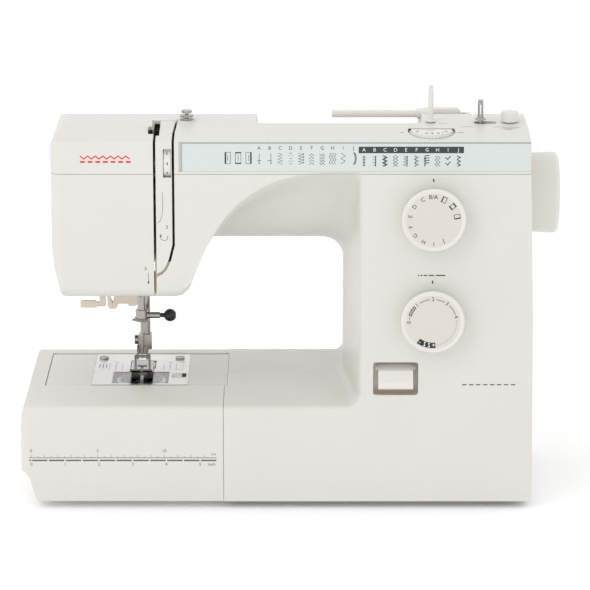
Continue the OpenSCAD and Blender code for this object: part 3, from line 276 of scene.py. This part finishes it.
class Print:
    """Flat marks in millimetres on a plane through origin, raised by a film's thickness."""

    def __init__(self, origin, right=(1, 0, 0), up=(0, 0, 1)):
        self.origin = Vector(origin)
        self.right = Vector(right).normalized()
        self.up = Vector(up).normalized()
        self.out = self.right.cross(self.up)
        self.shapes = []

    def add(self, points):
        self.shapes.append([points])

    def rect(self, u0, v0, u1, v1):
        self.add([(u0, v0), (u1, v0), (u1, v1), (u0, v1)])

    def disc(self, u, v, radius, sides=16):
        self.add([(u + radius * math.cos(i * math.tau / sides), v + radius * math.sin(i * math.tau / sides))
                  for i in range(sides)])

    def line(self, points, width):
        """A stroke with mitred corners."""
        left, right = [], []
        for i, point in enumerate(points):
            before = Vector(point) - Vector(points[max(i - 1, 0)])
            after = Vector(points[min(i + 1, len(points) - 1)]) - Vector(point)
            before = before.normalized() if before.length else after.normalized()
            after = after.normalized() if after.length else before
            mid = before + after
            mid = mid.normalized() if mid.length > 0.2 else Vector((-before.y, before.x))
            across = Vector((-mid.y, mid.x))
            reach = width / 2 / max(0.45, abs(across.dot(Vector((-before.y, before.x)))))
            left.append((point[0] + across.x * reach, point[1] + across.y * reach))
            right.append((point[0] - across.x * reach, point[1] - across.y * reach))
        for i in range(len(points) - 1):
            self.add([left[i], right[i], right[i + 1], left[i + 1]])

    def text(self, words, u, v, height, turn=0.0):
        """Numbers and letters, centred on a point."""
        curve = bpy.data.curves.new("letters", "FONT")
        curve.body = words
        curve.size = height * SIZE_OF_CAPITAL
        curve.align_x = "CENTER"
        curve.align_y = "CENTER"
        curve.resolution_u = 3
        letters = bpy.data.objects.new("letters", curve)
        scene.collection.objects.link(letters)
        flat = bpy.data.meshes.new_from_object(letters.evaluated_get(bpy.context.evaluated_depsgraph_get()))
        spin = Matrix.Rotation(math.radians(turn), 2)
        corners = [spin @ Vector(vertex.co[:2]) + Vector((u, v)) for vertex in flat.vertices]
        self.shapes.append([[tuple(corners[k]) for k in polygon.vertices] for polygon in flat.polygons])
        bpy.data.objects.remove(letters)
        bpy.data.curves.remove(curve)
        bpy.data.meshes.remove(flat)

    def build(self, name, body, slot, material, onto=None, film=0.06):
        """Makes the piece; onto is a surface tree that the marks are laid down on."""
        work = bmesh.new()
        for shape in self.shapes:
            known = {}
            for polygon in shape:
                corners = []
                for u, v in polygon:
                    key = (round(u, 4), round(v, 4))
                    if key not in known:
                        known[key] = work.verts.new((self.origin + self.right * u + self.up * v) * MM)
                    corners.append(known[key])
                if len(set(corners)) == len(corners) > 2:
                    try:
                        work.faces.new(corners)
                    except ValueError:
                        pass
        for face in work.faces:
            face.normal_update()
            if face.normal.dot(self.out) < 0:
                face.normal_flip()
        if onto:
            for vertex in work.verts:
                hit = onto.ray_cast(vertex.co + self.out * 0.03, -self.out)[0]
                if hit:
                    vertex.co = hit
        grown = bmesh.ops.extrude_face_region(work, geom=list(work.faces))
        top = [part for part in grown["geom"] if isinstance(part, bmesh.types.BMVert)]
        bmesh.ops.translate(work, verts=top, vec=self.out * film * MM)
        bmesh.ops.recalc_face_normals(work, faces=work.faces)
        mesh = bpy.data.meshes.new(name)
        work.to_mesh(mesh)
        work.free()
        return add_piece(name, mesh, body, material)


def surface_of(*objects):
    """A ray-cast tree over the shapes of several objects, in the shared frame."""
    points, faces = [], []
    for item in objects:
        base = len(points)
        points += [vertex.co.copy() for vertex in item.data.vertices]
        faces += [[base + k for k in polygon.vertices] for polygon in item.data.polygons]
    return BVHTree.FromPolygons(points, faces)


def low(node):
    """Lowest corner of a CAD node, in millimetres."""
    return Vector(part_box(node)[0]) / MM


def high(node):
    """Highest corner of a CAD node, in millimetres."""
    return Vector(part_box(node)[1]) / MM


# ---- Casing ----
def make_casing():
    for node in ("front_cover", "rear_cover", "top_cover", "face_cover"):
        # The front cover's swept throat has shallow folds that stay unbevelled
        refine(node, bevel=0.5, angle=50 if node == "front_cover" else 32)
    refine("thread_guide_plate", bevel=0.12)
    refine("extension_table", bevel=0.7)
    refine("free_arm_cover", bevel=0.4)


def make_controls():
    for node in ("hand_wheel", "tension_dial", "width_dial", "spool_pin", "extra_spool_pin", "winder_base",
                 "winder_stopper", "presser_lifter", "cover_release",
                 "carrying_handle", "reverse_lever", "thread_cutter", "pattern_dial", "length_dial",
                 "power_switch", "power_inlet", "drop_feed_lever", "clamp_screw"):
        refine(node, bevel=0.25)
    # The threader takes the cream tint of painted shade in place of plain white.
    refine("needle_threader", bevel=0.25, material=THREADER_SHADE_TINT)


def make_metalwork():
    for node in ("needle_plate", "presser_foot", "foot_holder", "foot_screw", "needle_clamp", "needle_bar",
                 "presser_bar", "take_up_lever", "needle", "winding_guide", "winder_spindle",
                 "feed_dogs", "plate_screws", "cover_screws", "tension_discs"):
        refine(node, bevel=0.12)


def finish_frame_nodes():
    """The CAD nodes that still show get their slot's material."""
    for node, item in NODES.items():
        material = MATERIAL_OF_SLOT[SLOT_OF_NODE[node]]
        for place in item.material_slots:
            place.material = material


# ---- Stitch chart ----
CHART_X = low("stitch_chart").x
CHART_FRONT = low("stitch_chart").y
CHART_TOP = high("stitch_chart").z
PITCH = 7.7


def zigzag(mark, u, v, width, height, turns, stroke):
    """A zigzag running down, centred on a point; a negative width starts it on the other side."""
    points = [(u + (width / 2 if i % 2 else -width / 2), v + height / 2 - height * i / turns)
              for i in range(turns + 1)]
    mark.line(points, stroke)


def buttonhole(mark, u, v, kind):
    """A buttonhole icon with its left side, its right side or its end bars heavy."""
    mark.rect(u - 2.2, v - 4.4, u - (1.1 if kind == "left" else 1.9), v + 4.4)
    mark.rect(u + (1.1 if kind == "right" else 1.9), v - 4.4, u + 2.2, v + 4.4)
    for side in (-1, 1):
        thick = 0.9 if kind == "bars" else 0.3
        mark.rect(u - 2.2, v + side * 4.4 - (thick if side > 0 else 0), u + 2.2,
                  v + side * 4.4 + (thick if side < 0 else 0))
    mark.rect(u - 0.15, v - 2.4, u + 0.15, v + 2.4)


def make_chart():
    refine("stitch_chart", bevel=0.0)
    plane = (0, CHART_FRONT, 0)
    marks, band, light = Print(plane), Print(plane), Print(plane)
    first = CHART_X + 34.4
    v = CHART_TOP - 11.6
    for i, kind in enumerate(("left", "bars", "right")):
        buttonhole(marks, first + i * PITCH, v, kind)
    letters = "ABCDEFGHIJ"
    row_v = CHART_TOP - 4.2
    grey = [first + (3 + i) * PITCH for i in range(10)]
    dark = [grey[-1] + 7.6 + i * PITCH for i in range(10)]
    for letter, u in zip(letters, grey):
        marks.text(letter, u, row_v, 2.7)
    drop = 1.4
    band.rect(dark[0] - 3.9, row_v - drop - 2.4, dark[-1] + 3.9, row_v - drop + 2.5)
    for letter, u in zip(letters, dark):
        light.text(letter, u, row_v - drop, 2.7)
    v -= 0.4
    thin = 0.32
    # Utility stitches
    for u, offset in ((grey[0], 0.0), (grey[1], 0.9)):
        marks.line([(u + offset, v + 4), (u + offset, v - 4)], thin)
        marks.line([(u - 1.6, v - 1.6), (u + 1.6, v - 1.6)], thin)
        marks.disc(u + offset, v - 3.4, 0.5, 8)
    zigzag(marks, grey[2], v, 3.4, 8.4, 7, thin)
    for i in range(5):
        for side in (-1, 1):
            marks.disc(grey[3] + side * (0.5 + 0.7 * (i % 2)), v + 4 - i * 2, 0.34, 8)
    for i in range(4):
        top = v + 4 - i * 2.1
        marks.line([(grey[4] - 2, top), (grey[4] + 1.6, top - 1), (grey[4] - 2, top - 2)], thin)
        marks.line([(grey[4] + 1.8, top), (grey[4] + 1.8, top - 1.2)], thin * 1.6)
    for i in range(4):
        top = v + 3.6 - i * 2.2
        marks.line([(grey[5] - 1.8, top - 1.6), (grey[5], top), (grey[5] + 1.8, top - 1.6)], thin)
        marks.line([(grey[6] - 1.9, top), (grey[6] - 0.6, top - 1.8), (grey[6] + 0.7, top),
                    (grey[6] + 1.9, top - 1.8)], thin)
    for side in (-1.8, 0, 1.8):
        marks.line([(grey[7] + side + 0.7 * math.sin(k * 1.1), v + 4.2 - k * 0.7) for k in range(13)], thin)
    zigzag(marks, grey[8], v, 3.4, 8, 4, thin)
    for lift in (0, 0.7):
        marks.line([(grey[9] + 1.8 * math.cos(a * 0.24) - 0.6 + lift, v + 4.4 * math.sin(a * 0.24))
                    for a in range(-6, 7)], thin * 1.5)
    # Stretch stitches under the dark band
    v -= 1.9
    bold = 0.62
    for u, offset in ((dark[0], 0.0), (dark[1], 0.8)):
        marks.line([(u + offset, v + 4), (u + offset, v - 4)], bold)
        for k in range(4):
            marks.line([(u - 1.3, v + 3 - k * 2), (u + 1.3, v + 3 - k * 2)], thin)
    zigzag(marks, dark[2] - 0.5, v, 2.4, 8, 6, bold)
    zigzag(marks, dark[2] + 0.8, v, 2.4, 8, 6, thin)
    for side in (-1, 1):
        zigzag(marks, dark[3] + side * 0.9, v, 1.7 * side, 8.4, 7, thin)
    marks.line([(dark[4] + 0.8, v + 4), (dark[4] + 0.8, v - 4)], bold)
    zigzag(marks, dark[4] - 0.4, v, 2.8, 8, 7, thin)
    zigzag(marks, dark[5] + 0.2, v, 3.2, 8, 6, thin)
    zigzag(marks, dark[5] - 0.7, v, 1.6, 8, 6, thin)
    for k in range(4):
        marks.line([(dark[6] - 2, v + 1.4 - k * 1.8), (dark[6] - 1.2 + k * 0.2, v + 4 - k * 1.8),
                    (dark[6] + 1.8, v + 4.2 - k * 1.8)], bold)
    zigzag(marks, dark[7] - 0.9, v, 1.8, 8, 5, thin)
    zigzag(marks, dark[7] + 1.0, v, 1.8, 8, 5, thin)
    for k in range(2):
        top = v + 3.8 - k * 4.2
        marks.line([(dark[8] + 1.8, top), (dark[8] - 0.2, top - 2.6), (dark[8] - 1.8, top - 1)], bold)
    for k in range(3):
        top = v + 4 - k * 2.8
        marks.line([(dark[9] - 1.2, top), (dark[9] + 1.4, top - 1.3), (dark[9] - 0.8, top - 2.4)], bold)
    marks.build("chart_marks", "root", "chart_grey", BLACK_INK, film=0.04)
    band.build("chart_band", "root", "chart_grey", BAND_INK, film=0.03)
    light.build("chart_band_letters", "root", "chart_grey", WHITE_INK, film=0.05)
    make_chart_border()


def make_chart_border():
    """A painted shadow: the darker strip round the top and left of the chart's recess, where its walls cast
    shade.
    """
    edge = Print((0, CHART_FRONT, 0))
    left, right = CHART_X, high("stitch_chart").x
    edge.rect(left - 0.1, low("stitch_chart").z, left + 1.1, CHART_TOP)
    edge.rect(left + 1.1, CHART_TOP - 1.0, right - 0.2, CHART_TOP)
    edge.build("chart_recess_shadow_strip", "root", "chart_grey", CHART_RECESS_SHADOW, film=0.03)


# ---- Dials ----
LETTER_RADIUS = 17.6


def dial_centre(node):
    """Middle of a front dial, on the plane of its outer rim."""
    box_low, box_high = low(node), high(node)
    return (box_low.x + box_high.x) / 2, box_low.y, (box_low.z + box_high.z) / 2


def around(radius, degrees):
    """A point at a clock angle: 0 at the top, turning clockwise."""
    return radius * math.sin(math.radians(degrees)), radius * math.cos(math.radians(degrees))


def make_dial_face(node, radius=20.4):
    """The matt disc set in the knob's rim."""
    x, y, z = dial_centre(node)
    face = Print((x, y + 0.4, z))
    face.disc(0, 0, radius, 96)
    face.build(node + "_face", node, "control_white", DIAL_FACE, film=0.03)
    return (x, y + 0.37, z)


def turned(u, v, spin, centre):
    """A point of a small icon, turned clockwise and moved out to its centre."""
    return (centre[0] + u * math.cos(spin) + v * math.sin(spin),
            centre[1] - u * math.sin(spin) + v * math.cos(spin))


def make_pattern_dial_marks():
    marks = Print(make_dial_face("pattern_dial"))
    for letter, turn in zip("CDEFGHIJ", (-28, -54, -80, -106, -130, -155, 180, 155)):
        marks.text(letter, *around(LETTER_RADIUS, turn), 3.1, turn=-turn)
    marks.text("B/A", *around(LETTER_RADIUS, -2), 3.3)
    for turn, icon in ((25, "left"), (52, "bars"), (80, "right")):
        spin, centre = math.radians(turn), around(17.2, turn)
        left = -0.9 if icon == "left" else -1.4
        right = 0.9 if icon == "right" else 1.4
        thick = 1.0 if icon == "bars" else 0.4
        for u0, v0, u1, v1 in ((-1.8, -2.3, left, 2.3), (right, -2.3, 1.8, 2.3),
                               (-1.8, 2.3 - thick, 1.8, 2.3), (-1.8, -2.3, 1.8, thick - 2.3)):
            marks.add([turned(u, v, spin, centre) for u, v in ((u0, v0), (u1, v0), (u1, v1), (u0, v1))])
    marks.build("pattern_dial_marks", "pattern_dial", "control_white", BLACK_INK)
    x, _, z = dial_centre("pattern_dial")
    pointer = Print((x, low("front_cover").y, z))
    pointer.rect(-0.5, 26.0, 0.5, 28.2)
    pointer.build("pattern_pointer", "root", "casing_white", BLACK_INK)


def make_length_dial_marks():
    plane = make_dial_face("length_dial")
    marks, light = Print(plane), Print(plane)
    radius = LETTER_RADIUS
    for start, end in ((-34, -8), (8, 29), (43, 70)):
        marks.line([around(radius, start + (end - start) * i / 8) for i in range(9)], 0.42)
    marks.line([around(radius, -83), around(radius, -77)], 0.42)
    for side in (-0.95, 0.95):
        marks.line([around(radius + side, -73 + 3 * i) for i in range(9)], 0.5)
    for turn in (-73, -49):
        marks.line([around(radius - 1.1, turn), around(radius + 1.1, turn)], 0.5)
    for i in range(7):
        marks.line([around(radius - 0.9, -71 + 3 * i), around(radius + 0.9, -69 + 3 * i)], 0.3)
    for value, turn in ((0, -90), (1, -42), (2, 0), (3, 36), (4, 76)):
        marks.text(str(value), *around(radius, turn), 3.1, turn=-turn)
    for i in range(14):
        marks.disc(*around(radius, 85 + i * 6.3), 0.3, 8)
    for i in range(12):
        turn = 173.5 + i * 3.6
        marks.add([around(radius + 2.1, turn), around(radius + 2.1, turn + 3.7),
                   around(radius - 2.1, turn + 3.7), around(radius - 2.1, turn)])
    for turn, sign in ((178, "+"), (212, "-")):
        light.text(sign, *around(radius, turn), 3.6, turn=180 - turn)
    for turn in (189, 200):
        light.line([around(radius + 1.5, turn + 2.2), around(radius + 1.3, turn - 2), around(radius, turn),
                    around(radius - 1.3, turn + 2), around(radius - 1.5, turn - 2.2)], 0.5)
    marks.build("length_dial_marks", "length_dial", "control_white", BLACK_INK, film=0.05)
    light.build("length_dial_signs", "length_dial", "control_white", WHITE_INK, film=0.08)
    x, _, z = dial_centre("length_dial")
    pointer = Print((x, low("front_cover").y, z))
    pointer.rect(-0.5, 26.0, 0.5, 28.4)
    place = -11.0
    for length, space in ((1.1, 0.9), (1.5, 1.0), (2.4, 1.1), (4.0, 1.2), (7.2, 1.2)):
        pointer.rect(place, 32.0, place + length, 32.8)
        place += length + space
    pointer.build("length_pointer", "root", "casing_white", BLACK_INK)


def make_width_dial_marks():
    box_low, box_high = low("width_dial"), high("width_dial")
    centre = (box_low + box_high) / 2
    marks = Print((centre.x, centre.y, box_high.z), (1, 0, 0), (0, 1, 0))
    for i, value in enumerate("01234 5"):
        if value.strip():
            turn = 180 - (3 - i) * 22
            u, v = around(11.6, turn)
            marks.text(value, u, v, 3.6)
    marks.build("width_dial_numbers", "width_dial", "control_white", BLACK_INK)


# ---- Front marks ----
INCH = 25.4
RULER_END = 139.4


def make_ruler():
    front = low("extension_table").y
    left = -195.2
    top = 41.2
    marks, words = Print((left, front, top)), Print((left, front, top))
    marks.rect(-1.6, -0.2, RULER_END, 0.25)
    for i in range(27):
        tall = 2.6 if i % 2 == 0 else 1.3
        marks.rect(i * 5 - 0.12, 0.1, i * 5 + 0.12, tall)
    marks.rect(-1.6, -2.6, -0.3, -1.5)
    for i in range(11):
        marks.rect(i * INCH / 2 + 0.6, -2.6, min((i + 1) * INCH / 2 - 0.6, RULER_END), -1.5)
    for i in range(3):
        words.text(str(i * 5), i * 50, 5.4, 2.6)
    for i in range(6):
        words.text(str(i), i * INCH, -5.2, 2.6)
    words.text("cm", 137.0, 3.0, 2.4)
    words.text("inch", 135.6, -5.2, 2.6)
    marks.build("ruler_lines", "extension_table", "casing_white", GREY_INK)
    words.build("ruler_numbers", "extension_table", "casing_white", PALE_INK)


def make_front_marks():
    front = low("front_cover").y
    badge = Print((-136, low("top_cover").y, 269))
    for i in range(7):
        badge.rect(-18.6 + i * 5.6, -0.7, -15.0 + i * 5.6, 0.7)
    badge.line([(-18.6 + 2.8 * i, 2.2 if i % 2 else 4.4) for i in range(14)], 0.9)
    badge.build("stitch_emblem", "root", "casing_white", RED_INK)
    name = Print((148.5, front, 98.6))
    for i in range(8):
        name.rect(-20.5 + i * 5.2, -0.45, -17.3 + i * 5.2, 0.45)
    name.build("stitch_dashes", "root", "casing_white", GREY_INK)
    path = Print((0, low("thread_guide_plate").y, 0))
    path.line([(-94.6, 246), (-94.2, 240), (-94.4, 232), (-95.8, 225), (-98.2, 222.6)], 0.3)
    path.text("3", -91.4, 219.6, 2.8)
    path.line([(-90.6, 213.4), (-91.2, 210.4), (-93.6, 209.4), (-95.8, 210.8), (-96, 213)], 0.35)
    path.add([(-96.9, 212.4), (-95.1, 212.4), (-96, 214.6)])
    path.build("thread_path_marks", "root", "casing_white", GREY_INK)
    arrow = Print((0, low("face_cover").y, 0))
    arrow.text("5", -107.4, 188, 2.8)
    arrow.line([(-105.4, 184.8), (-105.4, 177.6)], 0.35)
    arrow.add([(-106.3, 178.4), (-104.5, 178.4), (-105.4, 176)])
    arrow.build("thread_arrow", "root", "casing_white", GREY_INK)


def make_tension_numbers():
    box_low, box_high = low("tension_dial"), high("tension_dial")
    centre = (box_low + box_high) / 2
    radius = (box_high.z - box_low.z) / 2
    for value in range(10):
        turn = math.radians((value - 4) * 28)
        out = Vector((0, -math.cos(turn), math.sin(turn)))
        mark = Print(centre + out * radius, (1, 0, 0), Vector((1, 0, 0)).cross(-out))
        mark.text(str(value), 0, 0, 2.6)
        mark.build(f"tension_number_{value}", "tension_dial", "control_white", BLACK_INK)


def make_plate_marks():
    top = high("needle_plate").z
    marks = Print((0, 0, top), (1, 0, 0), (0, 1, 0))
    needle_x = (low("needle").x + high("needle").x) / 2
    for i in range(4):
        for side in (-1, 1):
            u = needle_x + side * (16 + i * 5)
            marks.rect(u - 0.12, 14, u + 0.12, 32)
            if i % 2:
                marks.text(str(15 + i * 5), u, 35, 2.2)
    marks.rect(-90.6, 14.6, -84.6, 15)
    for i in range(3):
        marks.rect(-149 + 2.6 * i, 20, -148.4 + 2.6 * i, 30)
    marks.build("plate_marks", "root", "brushed_steel", GREY_INK, film=0.02)


def make_top_marks():
    onto = surface_of(NODES["top_cover"])
    marks = Print((0, 0, 288), (1, 0, 0), (0, 1, 0))
    marks.rect(80.5, -57.4, 83.4, -56.8)
    marks.rect(122.5, -57.4, 128, -56.8)
    marks.disc(119.6, -57.6, 0.7, 10)
    marks.line([(126, -46), (131, -44.6), (135, -46)], 0.35)
    marks.line([(110, -38), (116, -37.4)], 0.35)
    marks.line([(150, -46), (154, -45), (158, -46), (170, -46)], 0.35)
    marks.line([(158, -50), (164, -50)], 0.9)
    marks.line([(156, -48), (168, -48)], 0.35)
    marks.build("top_marks", "root", "casing_white", PALE_INK, onto=onto)


# ---- Linings with a painted glow, and hidden works that show through gaps ----
def make_lining(name, slabs):
    """Beige walls behind an opening, each slab given by two corners in millimetres; they glow with painted
    light that stands in for light reaching the shaded hollow.
    """
    work = bmesh.new()
    for low_corner, high_corner in slabs:
        size = Vector(high_corner) - Vector(low_corner)
        middle = (Vector(high_corner) + Vector(low_corner)) / 2
        placed = Matrix.Translation(middle * MM) @ Matrix.Diagonal((*(size * MM), 1.0))
        bmesh.ops.create_cube(work, size=1.0, matrix=placed)
    mesh = bpy.data.meshes.new(name)
    work.to_mesh(mesh)
    work.free()
    return add_piece(name, mesh, "root", PIT_WITH_PAINTED_GLOW)


def make_linings():
    front = low("front_cover").y
    left, bottom, right, top = 61.4, 90.4, 95.1, 116.0
    near, far, wall = front + 2.6, front + 13.0, 0.5
    make_lining("lever_pocket", [
        ((left, far, bottom), (right, far + wall, top)),
        ((left - wall, near, bottom - wall), (left, far + wall, top + wall)),
        ((right, near, bottom - wall), (right + wall, far + wall, top + wall)),
        ((left, near, bottom - wall), (right, far + wall, bottom)),
        ((left, near, top), (right, far + wall, top + wall))])
    make_lining("slot_backing", [((-100.6, front + 6.0, 166.0), (-84.0, front + 6.5, 192.0))])


def make_presser_spring():
    box_low, box_high = low("presser_spring"), high("presser_spring")
    centre = (box_low + box_high) / 2
    wire = 0.8
    radius = (box_high.x - box_low.x) / 2 - wire
    turns, per_turn, sides = 12, 24, 8
    height = box_high.z - box_low.z - 2 * wire
    work = bmesh.new()
    rings = []
    for i in range(turns * per_turn + 1):
        share = i / (turns * per_turn)
        eased = share - math.sin(math.tau * share) * 0.05 / math.tau
        turn = math.tau * turns * share
        middle = Vector((centre.x + radius * math.cos(turn), centre.y + radius * math.sin(turn),
                         box_low.z + wire + height * eased))
        outward = Vector((math.cos(turn), math.sin(turn), 0))
        rings.append([work.verts.new((middle + outward * wire * math.cos(k * math.tau / sides)
                                      + Vector((0, 0, wire * math.sin(k * math.tau / sides)))) * MM)
                      for k in range(sides)])
    for before, after in zip(rings, rings[1:]):
        for k in range(sides):
            work.faces.new((before[k], before[(k + 1) % sides], after[(k + 1) % sides], after[k]))
    work.faces.new(rings[0])
    work.faces.new(rings[-1][::-1])
    bmesh.ops.recalc_face_normals(work, faces=work.faces)
    mesh = bpy.data.meshes.new("presser_spring_coil")
    work.to_mesh(mesh)
    work.free()
    smooth_by_angle(mesh, 60)
    add_piece("presser_spring_coil", mesh, "presser_bar", SPRING_STEEL, ("presser_spring",))


# ---- Studio ----
def make_floor():
    mesh = bpy.data.meshes.new("floor")
    reach = 6.0
    mesh.from_pydata([(-reach, -reach, 0), (reach, -reach, 0), (reach, reach, 0), (-reach, reach, 0)], [],
                     [(0, 1, 2, 3)])
    floor = bpy.data.objects.new("floor", mesh)
    scene.collection.objects.link(floor)
    look = Look("floor_white", 0.9, Emission_Color=srgb(252, 251, 250), Emission_Strength=0.1)
    look.colour(look.noise(3.0), srgb(250, 250, 250), srgb(252, 252, 252))
    mesh.materials.append(look.material)


def area_light(name, place, target, size, power, colour=(1, 1, 1)):
    lamp = bpy.data.lights.new(name, "AREA")
    lamp.shape = "RECTANGLE"
    lamp.size, lamp.size_y = size
    lamp.energy = power
    lamp.color = colour
    item = bpy.data.objects.new(name, lamp)
    item.location = place
    item.rotation_euler = (Vector(target) - Vector(place)).to_track_quat("-Z", "Y").to_euler()
    scene.collection.objects.link(item)


def make_studio():
    make_floor()
    world = bpy.data.worlds.new("studio")
    scene.world = world
    world.use_nodes = True
    background = world.node_tree.nodes["Background"]
    background.inputs["Color"].default_value = (1.0, 1.0, 1.0, 1.0)
    background.inputs["Strength"].default_value = 1.0
    area_light("overhead", (-0.8, -1.1, 1.5), (0, 0, 0.1), (0.7, 0.7), 3.2)
    area_light("left_front", (-1.2, -1.5, 0.95), (0.05, 0, 0.15), (0.28, 0.28), 1.8, (1.0, 0.96, 0.91))
    scene.view_settings.view_transform = "Standard"


def make_camera():
    """Long lens, looking fifteen degrees down at the machine from the front."""
    lens = bpy.data.cameras.new("camera")
    lens.sensor_width = 36.0
    lens.lens = 195.9
    lens.clip_end = 50
    camera = bpy.data.objects.new("camera", lens)
    camera.location = (0.0031, -2.375, 0.7834)
    camera.rotation_euler = (math.radians(75.02), 0.0, 0.0)
    scene.collection.objects.link(camera)
    scene.camera = camera


make_camera()
make_casing()
make_controls()
make_metalwork()
make_chart()
make_pattern_dial_marks()
make_length_dial_marks()
make_width_dial_marks()
make_tension_numbers()
make_ruler()
make_front_marks()
make_plate_marks()
make_top_marks()
make_linings()
make_presser_spring()
finish_frame_nodes()
make_studio()
